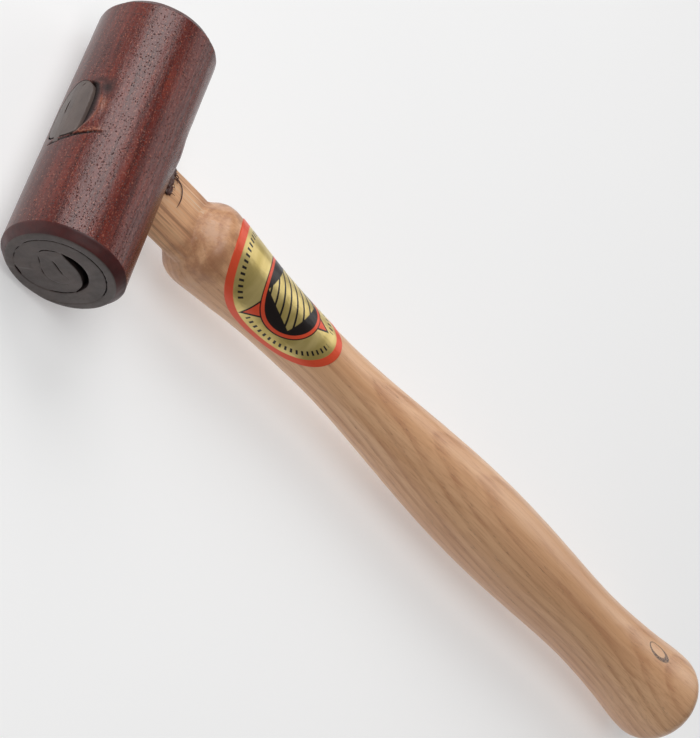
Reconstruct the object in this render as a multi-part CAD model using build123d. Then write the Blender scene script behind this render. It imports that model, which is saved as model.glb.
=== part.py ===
from build123d import *
from math import atan2, cos, degrees, radians, sin
import os

# A small rawhide mallet: a head rolled from one thick strip of hide, on a turned ash handle.
# All sizes are millimetres. The mallet lies on its side: +X runs along the handle from the
# head to the butt, +Y runs along the head, and +Z is up. The head rests on Z = 0, and the
# origin is under the middle of the mallet's box.

# ---- driving dimensions: head ----
face_diameter = 32.0          # diameter of the rolled head
head_length = 77.5            # from striking face to striking face
rim_width = 1.9               # bevel around each face, measured across the face
rim_depth = 2.7               # the same bevel, measured along the head
wrap_thickness = 4.2          # the hide strip, as thick as one turn of the roll
seam_width = 0.26             # gap between two turns, filled with glue
glue_recess = 1.2             # the glue stops this far below each striking face

# ---- driving dimensions: eye, tenon and wedge ----
eye_length = 19.8             # the oval eye, along the head
eye_width = 12.4              # the oval eye, across the head
kerf_mouth = 1.9              # saw kerf and wedge, at the end of the tenon
kerf_root = 0.7               # the same, at the bottom of the kerf
kerf_depth = 21.0             # how deep the wedge is driven
kerf_height = -0.8            # the kerf's middle, above the handle's axis

# ---- driving dimensions: handle ----
handle_reach = 284.4          # from the head's axis to the end of the butt
shoulder_foot = (27.1, 5.8)   # (distance from the head's axis, radius), as in body_profile
shoulder_edge = (34.6, 11.3)  # where the conical shoulder meets the turned body
shoulder_slope = 0.55         # rise of the body's curve where it leaves the cone
body_profile = [
    (36.4, 11.93),
    (40.0, 12.0),             # collar
    (45.5, 11.47),
    (51.5, 10.9),
    (60.0, 10.08),
    (76.0, 9.35),
    (93.0, 9.15),             # waist
    (112.0, 10.05),
    (131.0, 11.55),
    (151.0, 12.97),
    (172.0, 13.72),           # fullest part of the grip
    (193.0, 13.5),
    (212.0, 12.8),
    (231.0, 12.38),           # second waist, ahead of the butt
    (247.0, 13.05),
    (261.0, 14.25),
]
flare = (274.2, 15.35)        # widest part of the butt
butt_edge_radius = 8.6        # rounding of the butt's edge

# ---- driving dimensions: label ----
label_centre = 62.5           # from the head's axis, along the handle
label_half_length = 24.85     # along the handle
label_half_height = 16.5      # around the handle, measured on the wood
label_turn = -3.9             # degrees that the oval leans from the handle's axis
label_wood_radius = 10.0      # the handle's radius under the label
label_thickness = 0.15

# ---- places that follow from the driving dimensions ----
head_radius = face_diameter / 2
overall_length = head_radius + handle_reach
head_x = head_radius - overall_length / 2
axis_height = head_radius


def place(shape):
    """Moves a shape from the head's centre to its place in the mallet's frame."""
    return Pos(head_x, 0, axis_height) * shape


# ---- the rolled hide head ----

def polar_point(share, angle):
    """A point on the roll's section: a share of its radius, at degrees from +X towards +Z."""
    radius = share * head_radius
    return Vector(radius * cos(radians(angle)), radius * sin(radians(angle)))


def seam_share(angle):
    """The seam's radius as a share of the head's: each turn steps in by one thickness."""
    share = 1.0
    for step_start, step_end in ((-116, -8), (236, 358)):
        progress = min(max((angle - step_start) / (step_end - step_start), 0), 1)
        share -= wrap_thickness / head_radius * progress * progress * (3 - 2 * progress)
    return share


# The outer seam starts at the strip's outer end, low on the roll, and winds inwards.
outer_seam_angles = (-116, -96, -72, -48, -22, 12, 50, 90, 130, 170, 210, 244, 268, 292, 318, 350)
outer_seam = [polar_point(seam_share(angle), angle) for angle in outer_seam_angles]
outer_seam[0] = polar_point(1.03, outer_seam_angles[0])   # so that it opens on the outside

# The roll wasn't pressed shut here, so a crescent gap is left around the core.
crescent_outer_edge = [polar_point(share, angle) for share, angle in (
    (0.486, 350), (0.460, 27), (0.443, 61), (0.452, 95), (0.488, 136))]
crescent_inner_edge = [polar_point(share, angle) for share, angle in (
    (0.470, 136), (0.370, 122), (0.316, 100), (0.306, 72), (0.340, 40), (0.395, 18), (0.466, 350))]

# The inner seam goes on from the gap, turns in around the core and ends in the first fold.
inner_seam = [polar_point(share, angle) for share, angle in (
    (0.479, 135), (0.497, 156), (0.496, 177), (0.420, 194), (0.330, 214), (0.309, 247),
    (0.315, 280), (0.304, 318), (0.272, 348), (0.172, 5), (0.061, 0), (0.083, 168), (0.226, 169))]


def seam_band(points):
    """The outline of a gap of even width that follows a seam."""
    middle = Spline(*points)
    places = [middle.param_at_point(point) for point in points]
    half_width = seam_width / 2
    sides = []
    for side in (half_width, -half_width):
        offsets = [(middle @ at) + side * (middle % at).rotate(Axis.Z, 90) for at in places]
        sides.append(Spline(*offsets))
    left, right = sides
    return make_face(Curve() + [left, right, Line(left @ 0, right @ 0), Line(left @ 1, right @ 1)])


def crescent():
    """The outline of the open gap beside the core."""
    outer_edge = Spline(*crescent_outer_edge)
    inner_edge = Spline(*crescent_inner_edge)
    ends = [Line(outer_edge @ 0, inner_edge @ 1), Line(outer_edge @ 1, inner_edge @ 0)]
    return make_face(Curve() + [outer_edge, inner_edge] + ends)


def extrude_along_head(outline, length):
    """Extrudes an outline of the roll's section evenly to both sides along the head."""
    section_plane = Plane(origin=(0, 0, 0), x_dir=(1, 0, 0), z_dir=(0, -1, 0))
    return extrude(section_plane * outline, amount=length / 2, both=True)


def head_blank(length):
    """A cylinder along Y with a bevel around each face."""
    half_length = length / 2
    profile = Polyline(
        (0, -half_length),
        (head_radius - rim_width, -half_length),
        (head_radius, rim_depth - half_length),
        (head_radius, half_length - rim_depth),
        (head_radius - rim_width, half_length),
        (0, half_length),
        close=True,
    )
    return revolve(make_face(profile), Axis.Y)


def eye_prism():
    """The oval that the eye and the tenon share, along X through the whole head."""
    oval = Plane.YZ * Ellipse(eye_length / 2, eye_width / 2)
    return extrude(oval, amount=2 * head_radius, both=True)


def hide_roll():
    head = head_blank(head_length)
    for outline in (seam_band(outer_seam), crescent(), seam_band(inner_seam)):
        head -= extrude_along_head(outline, head_length + rim_width)
    return head - eye_prism()


def seam_glue(points):
    """The glue film that fills a seam, short of both faces and clear of the eye and the gap."""
    film = extrude_along_head(seam_band(points), head_length - 2 * glue_recess)
    film = film & head_blank(head_length)
    return film - extrude_along_head(crescent(), head_length) - eye_prism()


# ---- the handle and its wedge ----

def body_curve(lift=0.0):
    """The turned body's outline from collar to flare, lifted evenly by an amount."""
    points = [(x, radius + lift) for x, radius in [shoulder_edge] + body_profile + [flare]]
    return Spline(*points, tangents=[(1, shoulder_slope), (1, 0)], tangent_scalars=[1, 1])


def turned_body():
    """The handle from the foot of its conical shoulder to the butt, turned about X."""
    body = body_curve()
    edge_centre = Vector(flare[0], flare[1] - butt_edge_radius)
    # The crown's centre lies on the axis, and its arc runs on from the edge's without a corner.
    reach = handle_reach - edge_centre.X
    span = reach**2 + edge_centre.Y**2 - butt_edge_radius**2
    crown_radius = span / (2 * (reach - butt_edge_radius))
    crown_centre = Vector(handle_reach - crown_radius, 0)
    join_angle = degrees(atan2(edge_centre.Y, edge_centre.X - crown_centre.X))
    edge = CenterArc(edge_centre, butt_edge_radius, join_angle, 90 - join_angle)
    crown = CenterArc(crown_centre, crown_radius, 0, join_angle)
    inside = Polyline((handle_reach, 0), (shoulder_foot[0], 0), shoulder_foot, shoulder_edge)
    return revolve(make_face(Curve() + [body, edge, crown, inside]), Axis.X)


def tenon():
    """The oval neck, which runs into the shoulder, trimmed flush with the head's far side."""
    oval = Plane.YZ * Ellipse(eye_length / 2, eye_width / 2)
    neck = extrude(oval, amount=shoulder_edge[0])
    through_head = extrude(oval, amount=-head_radius)
    head_cylinder = Rot(90, 0, 0) * Cylinder(head_radius, head_length)
    return neck + (through_head & head_cylinder)


def kerf():
    """The tapered cut along the eye, open at the end of the tenon."""
    profile = Polyline(
        (-head_radius, kerf_mouth / 2),
        (kerf_depth - head_radius, kerf_root / 2),
        (kerf_depth - head_radius, -kerf_root / 2),
        (-head_radius, -kerf_mouth / 2),
        close=True,
    )
    cut = extrude(Plane.XZ * make_face(profile), amount=eye_length, both=True)
    return Pos(0, 0, kerf_height) * cut


def handle():
    return turned_body() + tenon() - kerf()


def eye_wedge():
    return kerf() & tenon()


# ---- the label ----

def label_outline(radius):
    """The oval of the label, as it is seen from the handle's axis, at a distance from it."""
    turn = radians(label_turn)
    points = []
    for angle in range(0, 360, 20):
        along = label_half_length * cos(radians(angle))
        across = label_half_height * sin(radians(angle))
        x = label_centre + along * cos(turn) - across * sin(turn)
        around = (along * sin(turn) + across * cos(turn)) / label_wood_radius
        points.append((x, radius * sin(around), radius * cos(around)))
    return Spline(*points, periodic=True).edge()


def handle_label():
    """A thin oval of foil, wrapped over the collar end of the turned body."""
    foil_top = body_curve(label_thickness)
    start, end = foil_top @ 0, foil_top @ 1
    down_to_axis = Polyline(start, (start.X, 0), (end.X, 0), end)
    sleeve = revolve(make_face(Curve() + [foil_top, down_to_axis]), Axis.X) - turned_body()
    # The cutter is a rim that passes through the sleeve from well inside it to well outside.
    cutter = Face.make_surface_from_curves(
        label_outline(label_wood_radius / 2), label_outline(label_wood_radius * 1.6))
    pieces = sleeve.split(cutter, keep=Keep.ALL)
    label_top = Vector(label_centre, 0, label_wood_radius)
    return min(pieces.solids(), key=lambda piece: (piece.center() - label_top).length)


nodes = {
    "hide_roll": hide_roll(),
    "outer_seam_glue": seam_glue(outer_seam),
    "inner_seam_glue": seam_glue(inner_seam),
    "ash_handle": handle(),
    "eye_wedge": eye_wedge(),
    "handle_label": handle_label(),
}

os.makedirs("parts", exist_ok=True)
for name, shape in nodes.items():
    export_step(place(shape), f"parts/{name}.step")
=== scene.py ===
import math

import bmesh
import bpy
import numpy as np
from mathutils import Matrix, Vector, noise
from mathutils.geometry import delaunay_2d_cdt


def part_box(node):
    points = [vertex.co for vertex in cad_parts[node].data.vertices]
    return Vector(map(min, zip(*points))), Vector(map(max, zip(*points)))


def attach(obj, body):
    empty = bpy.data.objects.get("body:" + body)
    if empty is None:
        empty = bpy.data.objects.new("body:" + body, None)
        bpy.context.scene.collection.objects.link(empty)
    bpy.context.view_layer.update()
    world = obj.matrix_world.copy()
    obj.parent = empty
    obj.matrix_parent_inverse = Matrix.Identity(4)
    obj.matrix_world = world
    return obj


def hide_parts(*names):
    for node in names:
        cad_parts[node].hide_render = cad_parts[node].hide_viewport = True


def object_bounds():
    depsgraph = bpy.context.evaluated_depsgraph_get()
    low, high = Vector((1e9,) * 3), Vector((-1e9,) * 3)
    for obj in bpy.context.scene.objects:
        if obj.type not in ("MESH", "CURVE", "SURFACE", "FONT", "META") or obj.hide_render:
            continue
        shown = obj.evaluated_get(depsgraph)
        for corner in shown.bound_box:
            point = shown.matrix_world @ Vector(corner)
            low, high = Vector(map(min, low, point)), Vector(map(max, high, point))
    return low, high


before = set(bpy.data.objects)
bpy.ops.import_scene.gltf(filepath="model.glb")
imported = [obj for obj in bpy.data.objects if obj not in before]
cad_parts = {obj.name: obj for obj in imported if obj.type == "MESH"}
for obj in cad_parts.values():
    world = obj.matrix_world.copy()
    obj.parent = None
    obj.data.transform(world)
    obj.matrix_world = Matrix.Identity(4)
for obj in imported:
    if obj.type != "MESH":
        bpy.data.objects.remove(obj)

# A rawhide mallet, dressed for Object Factory. Shapes are worked out in millimetres from the
# middle of the head: +X runs to the butt, +Y along the head to its far face, and +Z is up.
# Angles round the head turn from +X towards +Z. Angles round the handle turn from +Z to +Y.

MM = 0.001

# ---- places and sizes from the frame ----
cad_box = [list(corner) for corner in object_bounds()]
hide_low, hide_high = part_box("hide_roll")
ash_low, ash_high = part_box("ash_handle")
head_centre = (hide_low + hide_high) / 2
head_radius = (hide_high.z - hide_low.z) / 2 / MM
half_length = (hide_high.y - hide_low.y) / 2 / MM
handle_reach = (ash_high.x - head_centre.x) / MM

# ---- head ----
rim_width = 1.9
rim_depth = 2.7
wrap_thickness = 4.2
slot_width = 0.30             # the open seam between two turns, at a striking face
seam_depth = 1.3
seam_step = 0.2               # between two points of a seam's path
lip_reach = 15.75             # the closely set points along the seams stay inside this radius
crescent_depth = 27.0
face_tilt = 0.6               # how much further the front face is trimmed at its -X side
strip_end = -116.0            # the angle where the hide strip ends on the outside
strip_end_step = 0.24
burnished_start = 78.5        # arc from the strip's end to where the pores are rubbed shut
pore_spacing = (0.60, 0.76)   # around the roll and along it
head_columns = 330
head_rows = 196

# ---- eye and tenon ----
eye_half_length = 9.9
eye_half_width = 6.2
neck_mean_radius = 8.2
kerf_half_mouth = 0.97
kerf_height = -0.8
kerf_depth = 21.0
kerf_half_root = 0.36
loop_points = 180
pared_half_width = 4.85       # of the tenon's end, towards the top, where it was pared flat
pared_half_length = 9.1       # of the same end, towards the front face
relief_reach = 20.0           # how far the bevel and the crack reach, as arcs from the tenon
dark_end_rows = 8              # rings of the tenon, from its end, in the dark finish: the real finish on its end, and painted shade down its side inside the eye

# ---- handle ----
shoulder_foot = (27.1, 5.8)   # (distance from the head's axis, radius)
shoulder_slope = 0.55
body_stations = (
    (34.6, 11.3), (36.4, 11.93), (40.0, 12.0), (45.5, 11.47), (51.5, 10.9), (60.0, 10.08),
    (76.0, 9.35), (93.0, 9.15), (112.0, 10.05), (131.0, 11.55), (151.0, 12.97), (172.0, 13.72),
    (193.0, 13.5), (212.0, 12.8), (231.0, 12.38), (247.0, 13.05), (261.0, 14.25), (274.2, 15.35),
)
butt_edge_radius = 8.6

# ---- label ----
label_centre = 62.5
label_half_length = 24.85
label_half_height = 16.5
label_turn = math.radians(-3.9)
label_wood_radius = 10.0
label_thickness = 0.15
disc_centre = (1.9, 1.0)      # on the flat label: along the handle, then around it
disc_radius = 11.9
pointer_tips = ((-8.4, -13.2), (18.3, 1.0))
dash_count = 62

# ---- growth rings of the ash, in metres from the handle's axis ----
ring_spacing = 0.0026
pith_depth = 0.0515
pith_offset = 0.004
pith_slope = 0.04

# ---- ink ring: along the handle from the head's axis, then around it ----
ink_centre = (253.5, 2.5)
ink_half_sizes = (4.6, 2.1)

# ---- camera, where the photograph was taken from ----
camera_from_head = Vector((-258.4, -321.1, 374.7)) * MM
camera_right = Vector((0.57014, 0.26445, 0.77782))
camera_up = Vector((-0.57554, 0.80418, 0.14846))
camera_lens = 108.3


# ==== helpers for shapes ====

def smooth(value):
    """Rises smoothly from 0 to 1 as the value goes from 0 to 1."""
    value = np.clip(value, 0.0, 1.0)
    return value * value * (3.0 - 2.0 * value)


def bell(value):
    """A bump of height 1 around 0, about 2 wide."""
    return np.exp(-np.square(value) * 1.4)


def waves(*coordinates, seed=0.0):
    """Smooth noise, about -1 to 1, from two or three arrays of coordinates."""
    arrays = np.broadcast_arrays(*[np.asarray(c, float) for c in coordinates])
    flat = [a.ravel() for a in arrays]
    if len(flat) == 2:
        flat.append(np.zeros_like(flat[0]))
    values = [noise.noise(Vector((x, y, z + seed))) for x, y, z in zip(*flat)]
    return np.array(values).reshape(arrays[0].shape) * 1.6


def spline_slopes(at, values, start=None, end=None):
    """Slopes of the smooth cubic through values. An end with no slope given is left free."""
    count = len(at)
    matrix = np.zeros((count, count))
    right = np.zeros((count,) + values.shape[1:])
    gap = np.diff(at)
    for i in range(1, count - 1):
        matrix[i, i - 1:i + 2] = (gap[i], 2 * (gap[i - 1] + gap[i]), gap[i - 1])
        rise_before = (values[i] - values[i - 1]) / gap[i - 1]
        rise_after = (values[i + 1] - values[i]) / gap[i]
        right[i] = 3 * (gap[i] * rise_before + gap[i - 1] * rise_after)
    for row, near, slope in ((0, 1, start), (count - 1, count - 2, end)):
        matrix[row, row] = 1.0
        if slope is None:
            matrix[row, row], matrix[row, near] = 2.0, 1.0
            low, high = min(row, near), max(row, near)
            right[row] = 3 * (values[high] - values[low]) / (at[high] - at[low])
        else:
            right[row] = slope
    return np.linalg.solve(matrix, right)


def spline_values(at, values, slopes, where):
    """The cubic at new places, from its values and slopes at the old ones."""
    where = np.asarray(where, float)
    span = np.clip(np.searchsorted(at, where) - 1, 0, len(at) - 2)
    gap = at[span + 1] - at[span]
    t = (where - at[span]) / gap
    shape = t.shape + (1,) * (values.ndim - 1)
    t, gap = t.reshape(shape), gap.reshape(shape)
    return ((1 + 2 * t) * (1 - t) ** 2 * values[span] + t * (1 - t) ** 2 * gap * slopes[span]
            + t * t * (3 - 2 * t) * values[span + 1] - t * t * (1 - t) * gap * slopes[span + 1])


def curve_through(points, spacing):
    """Points an even distance apart on the smooth curve through the given ones."""
    points = np.asarray(points, float)
    at = np.concatenate([[0.0], np.cumsum(np.linalg.norm(np.diff(points, axis=0), axis=1))])
    slopes = spline_slopes(at, points)
    fine = spline_values(at, points, slopes, np.linspace(0, at[-1], 60 * len(points)))
    along = np.concatenate([[0.0], np.cumsum(np.linalg.norm(np.diff(fine, axis=0), axis=1))])
    even = np.linspace(0, along[-1], max(3, round(along[-1] / spacing)))
    return np.stack([np.interp(even, along, fine[:, i]) for i in range(points.shape[1])], axis=1)


def distance_to_path(points, path):
    """The distance from each point to a path of short straight runs, in the plane."""
    nearest = np.full(len(points), 1e9)
    for start, end in zip(path[:-1], path[1:]):
        run = end - start
        t = np.clip(((points - start) @ run) / max(run @ run, 1e-12), 0, 1)
        nearest = np.minimum(nearest, np.linalg.norm(points - start - t[:, None] * run, axis=1))
    return nearest


def distance_to_loop(points, outline):
    """The distance from each point to a closed outline."""
    return distance_to_path(points, np.concatenate([outline, outline[:1]]))


def clear_of(points, outlines, distance):
    """The points that lie further than a distance from every one of the closed outlines."""
    for outline in outlines:
        points = points[distance_to_loop(points, outline) > distance]
    return points


def left_of(step):
    """Unit vectors to the left of directions in the plane."""
    normal = np.stack([-step[:, 1], step[:, 0]], axis=1)
    return normal / np.linalg.norm(normal, axis=1)[:, None]


def full_turn(count):
    """Evenly spaced angles once around, from 0."""
    return np.linspace(0, 2 * math.pi, count, endpoint=False)


def staggered(xs, ys, shift):
    """A grid of points with every second row moved along by a shift."""
    return np.array([(x + shift * (k % 2), y) for k, y in enumerate(ys) for x in xs])


class Shape:
    """Collects points and faces in millimetres, and makes one welded mesh of them."""

    def __init__(self):
        self.points = []
        self.faces = []
        self.kinds = []

    def add_points(self, points):
        first = len(self.points)
        self.points.extend(tuple(map(float, p)) for p in points)
        return first

    def add_face(self, face, kind=0):
        self.faces.append(tuple(int(i) for i in face))
        self.kinds.append(kind)

    def add_rows(self, rows, kind=0):
        """Joins closed rows of equally many points with quads."""
        columns = len(rows[0])
        first = self.add_points(np.asarray(rows, float).reshape(-1, 3))
        for j in range(len(rows) - 1):
            for i in range(columns):
                a = first + j * columns + i
                b = first + j * columns + (i + 1) % columns
                self.add_face((a, b, b + columns, a + columns), kind)
        return first

    def add_fan(self, ring):
        """Closes a ring with triangles that meet at its middle."""
        first = self.add_points(np.concatenate([ring, [ring.mean(0)]]))
        for i in range(len(ring)):
            self.add_face((first + i, first + (i + 1) % len(ring), first + len(ring)))

    def add_pockets(self, first, kept, holes, floor_points, kind):
        """Sinks the holes of a face. Floor_points has the floor's point under each corner."""
        floor_first = self.add_points(floor_points.values())
        floor = {i: floor_first + k for k, i in enumerate(floor_points)}
        for face in holes:
            self.add_face([floor[i] for i in face], kind)
        for a, b in border_edges(kept):
            if a in floor and b in floor:
                self.add_face((first + b, first + a, floor[a], floor[b]), kind)

    def finish(self, name, materials, sharp_angle=50.0, weld=0.004):
        mesh = bpy.data.meshes.new(name)
        places = [head_centre + Vector(p) * MM for p in self.points]
        mesh.from_pydata(places, [], self.faces)
        for material in materials:
            mesh.materials.append(material)
        mesh.polygons.foreach_set("material_index", self.kinds)
        work = bmesh.new()
        work.from_mesh(mesh)
        bmesh.ops.remove_doubles(work, verts=work.verts, dist=weld * MM)
        bmesh.ops.dissolve_degenerate(work, edges=work.edges, dist=weld * MM * 0.2)
        loose = [v for v in work.verts if not v.link_faces]
        bmesh.ops.delete(work, geom=loose, context="VERTS")
        bmesh.ops.recalc_face_normals(work, faces=work.faces)
        work.to_mesh(mesh)
        work.free()
        mesh.shade_smooth()
        mesh.set_sharp_from_angle(angle=math.radians(sharp_angle))
        piece = bpy.data.objects.new(name, mesh)
        bpy.context.scene.collection.objects.link(piece)
        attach(piece, "root")
        return piece


def local_points(piece):
    """A piece's vertices in millimetres from the middle of the head."""
    co = np.zeros(len(piece.data.vertices) * 3, np.float32)
    piece.data.vertices.foreach_get("co", co)
    return (co.reshape(-1, 3).astype(float) - np.array(head_centre)) / MM


def store(piece, name, vectors):
    """Keeps a vector on every vertex, for the materials to read."""
    attribute = piece.data.attributes.new(name, "FLOAT_VECTOR", "POINT")
    attribute.data.foreach_set("vector", np.asarray(vectors, np.float32).ravel())


def fill_plane(outlines, spare_points, inside, outside=()):
    """Triangles between closed outlines in the plane. Inside and outside name the outlines,
    by number, that a triangle must lie in and must not lie in."""
    points, faces = [], []
    for outline in outlines:
        first = len(points)
        points.extend(Vector(p) for p in outline)
        order = list(range(first, len(points)))
        faces.append(order if enclosed_area(outline) > 0 else order[::-1])
    points.extend(Vector(p) for p in spare_points)
    found = delaunay_2d_cdt(points, [], faces, 0, 1e-5)
    made_points, made_faces, face_outlines = found[0], found[2], found[5]
    kept, dropped = [], []
    for face, held_by in zip(made_faces, face_outlines):
        if not set(inside) <= set(held_by):
            continue
        (dropped if set(outside) & set(held_by) else kept).append(tuple(face))
    return np.array([tuple(p) for p in made_points]), kept, dropped


def enclosed_area(outline):
    """The area inside a closed outline, negative if it runs clockwise."""
    x, y = np.asarray(outline)[:, 0], np.asarray(outline)[:, 1]
    return 0.5 * float(np.sum(x * np.roll(y, -1) - np.roll(x, -1) * y))


def border_edges(faces):
    """The directed edges that only one of the faces has."""
    edges = dict.fromkeys(edge for face in faces for edge in zip(face, face[1:] + face[:1]))
    return [(a, b) for a, b in edges if (b, a) not in edges]


def corners_of(faces):
    return sorted({i for face in faces for i in face})


# ==== the rolled hide head ====

def polar(share, angle):
    """A point of the roll's section: a share of its radius, at an angle."""
    radius = share * head_radius
    return (radius * math.cos(math.radians(angle)), radius * math.sin(math.radians(angle)))


def seam_share(angle):
    """The seam's radius as a share of the head's: each turn steps in by one thickness."""
    share = 1.0
    for step_start, step_end in ((strip_end, -8), (236, 358)):
        progress = min(max((angle - step_start) / (step_end - step_start), 0), 1)
        share -= wrap_thickness / head_radius * progress * progress * (3 - 2 * progress)
    return share


outer_seam = [polar(seam_share(angle), angle) for angle in range(-96, 351, 12)]
# Stretches where a seam has opened at the striking face, in millimetres along it, and how wide.
outer_open = ((27.6, 61.5, 0.9), (63.4, 65.6, 0.5), (66.6, 68.4, 0.5), (72.0, 75.6, 1.15),
              (84.0, 93.5, 0.45))
inner_open = ((0.3, 6.4, 0.9), (8.6, 10.8, 0.45), (13.2, 15.0, 0.4), (26.2, 40.0, 0.65))
crescent_outer_edge = [polar(share, angle) for share, angle in (
    (0.486, 350), (0.460, 27), (0.443, 61), (0.452, 95), (0.488, 136))]
crescent_inner_edge = [polar(share, angle) for share, angle in (
    (0.470, 136), (0.370, 122), (0.316, 100), (0.306, 72), (0.340, 40), (0.395, 18), (0.466, 350))]
inner_seam = [polar(share, angle) for share, angle in (
    (0.479, 135), (0.497, 156), (0.496, 177), (0.420, 194), (0.330, 214), (0.309, 247),
    (0.315, 280), (0.304, 318), (0.272, 348), (0.172, 5), (0.061, 0), (0.083, 168), (0.226, 169))]


def stretches(path, parts):
    """The parts of a seam, in millimetres along it, and each one's share of the slot's width."""
    at = np.arange(len(path)) * seam_step
    found = []
    for start, end, width in parts:
        inside = (at >= start) & (at <= end)
        if inside.sum() > 5:
            found.append((path[inside], width))
    return found


def slot_outline(path, width, seed):
    """The outline of an open seam along a path: uneven in width, and drawn to a point."""
    normal = left_of(np.gradient(path, axis=0))
    count = np.arange(len(path))
    from_end = np.minimum(count, count[::-1])
    half = slot_width / 2 * width * (1 + 0.6 * waves(count * seam_step, 0, seed=seed))
    half = (np.maximum(half, 0.045) * np.clip(0.3 + from_end / 6, 0, 1))[:, None]
    return np.concatenate([path + normal * half, (path - normal * half)[::-1]])


def face_drop(points, seed):
    """How far the striking face lies behind the end of the head, at points of its plane."""
    radius = np.linalg.norm(points, axis=1)
    past_rim = radius - (head_radius - rim_width)
    rounded = 0.5 * (past_rim + np.sqrt(past_rim * past_rim + 0.09))
    drop = rounded * rim_depth / rim_width
    uneven = waves(points[:, 0] / 6, points[:, 1] / 6, seed=seed) * 0.07
    fine = waves(points[:, 0] / 1.3, points[:, 1] / 1.3, seed=seed + 4) * 0.018
    return drop + uneven + fine + 0.12


def turn_drop(points):
    """How much lower the inner turns of the roll stand than the outer one."""
    angle = np.degrees(np.arctan2(points[:, 1], points[:, 0]))
    share = np.linalg.norm(points, axis=1) / head_radius
    first = np.array([seam_share(a if a > strip_end else a + 360) for a in angle])
    second = np.array([seam_share(a + 360 if a > strip_end else a + 720) for a in angle])
    inside_first = smooth((first - share) / 0.02 + 0.5)
    inside_second = smooth((second - share) / 0.02 + 0.5)
    return 0.10 * inside_first + 0.16 * inside_second


def end_tilt(x):
    """How much further the front face is trimmed, which grows towards its -X side."""
    return face_tilt * np.clip((head_radius - x) / (2 * head_radius), 0, 1) ** 1.4


def skin_angles():
    """The angles of the side's columns, once around from the strip's end."""
    return strip_end + 0.04 + np.linspace(0, 359.92, head_columns)


def skin_radius(angle, y):
    """The roll's radius on its side: slightly uneven, and lower before the strip's end."""
    angle, y = np.broadcast_arrays(np.asarray(angle, float), np.asarray(y, float))
    around = np.radians(angle) * head_radius
    radius = head_radius + 0.075 * waves(around / 8, y / 34)
    radius += 0.03 * waves(around / 2.4, y / 16, seed=7) + 0.012 * waves(around / 0.8, y / 2, seed=13)
    radius -= strip_end_step * smooth(1 - (strip_end + 360 - angle) / 15)
    # A low lengthwise ridge, pressed into the hide when it was rolled.
    radius += 0.10 * bell((angle - 80.5) / 2.2) - 0.05 * bell((angle - 76) / 3)
    # The hide bulges where the neck comes out.
    radius += 0.55 * bell((angle - 44) / 9) * bell((y - 5) / 6.5)
    return radius + eye_rim_relief(angle, y)


def tenon_top(y):
    """The height of the tenon's top edge at the -X side of the head, which was pared flat."""
    squareness = 3.2
    share = np.clip(np.abs(y) / 9.85, 0, 1)
    return pared_half_width * (1 - share ** squareness) ** (1 / squareness)


# Around the tenon's end, places are (y, arc): the arc runs up from the height of the handle.
# The bevel over the tenon ends at a ridge, and a crack runs on from the eye's lower end.
ridge_path = ((-8.8, 3.9), (-7, 5.2), (-4, 7.1), (-2, 7.8), (0, 8.2), (3, 7.8), (5.5, 7.2),
              (8, 6.4), (9.4, 3.9))
crack_path = ((-10.0, -3.4), (-9.5, 0.0), (-9.0, 3.0), (-8.0, 6.4), (-7.0, 9.6), (-6.2, 13.0))


def on_bevel(angle, y):
    """Where a place lies on the bevel over the tenon: its arc, its share of the way from the
    tenon (0) to the ridge (1), its distance past the ridge, and whether the bevel is there."""
    arc = np.radians(180 - angle) * head_radius
    tenon_edge = np.arcsin(tenon_top(y) / head_radius) * head_radius
    ridge_arc = np.interp(y, [p[0] for p in ridge_path], [p[1] for p in ridge_path])
    share = (arc - tenon_edge) / np.maximum(ridge_arc - tenon_edge, 0.4)
    over = smooth((9.4 - np.abs(y - 0.3)) / 1.2) * (np.abs(arc) < relief_reach)
    return arc, share, arc - ridge_arc, over


def beside_crack(arc, y):
    """The distance beyond the crack that runs on from the eye, and how open it is there."""
    crack_y = np.interp(arc, [p[1] for p in crack_path], [p[0] for p in crack_path])
    fade = smooth((arc + 4.5) / 2) * smooth((13.5 - arc) / 6) * (np.abs(arc) < relief_reach)
    return y - crack_y, fade


def eye_rim_relief(angle, y):
    """The bevel over the tenon, its raised edge, and the crack that runs on from the eye."""
    arc, share, past_ridge, over = on_bevel(angle, y)
    sunk = -1.15 * (1 - np.clip(share, 0, 1)) ** 1.5 * smooth((share + 0.6) / 0.5)
    lip = 0.14 * bell((past_ridge - 0.25) / 0.9)
    hollow = -0.20 * bell((arc - 8.6) / 1.6) * bell((y - 6.6) / 2.8)
    beside, fade = beside_crack(arc, y)
    specks = 0.55 + 0.45 * waves(arc / 0.5, y / 0.5, seed=91)
    crack = (-0.32 * bell(beside / 0.28) + 0.12 * bell((beside - 0.8) / 0.6) * specks) * fade
    return (sunk + lip) * over + hollow + crack


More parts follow.
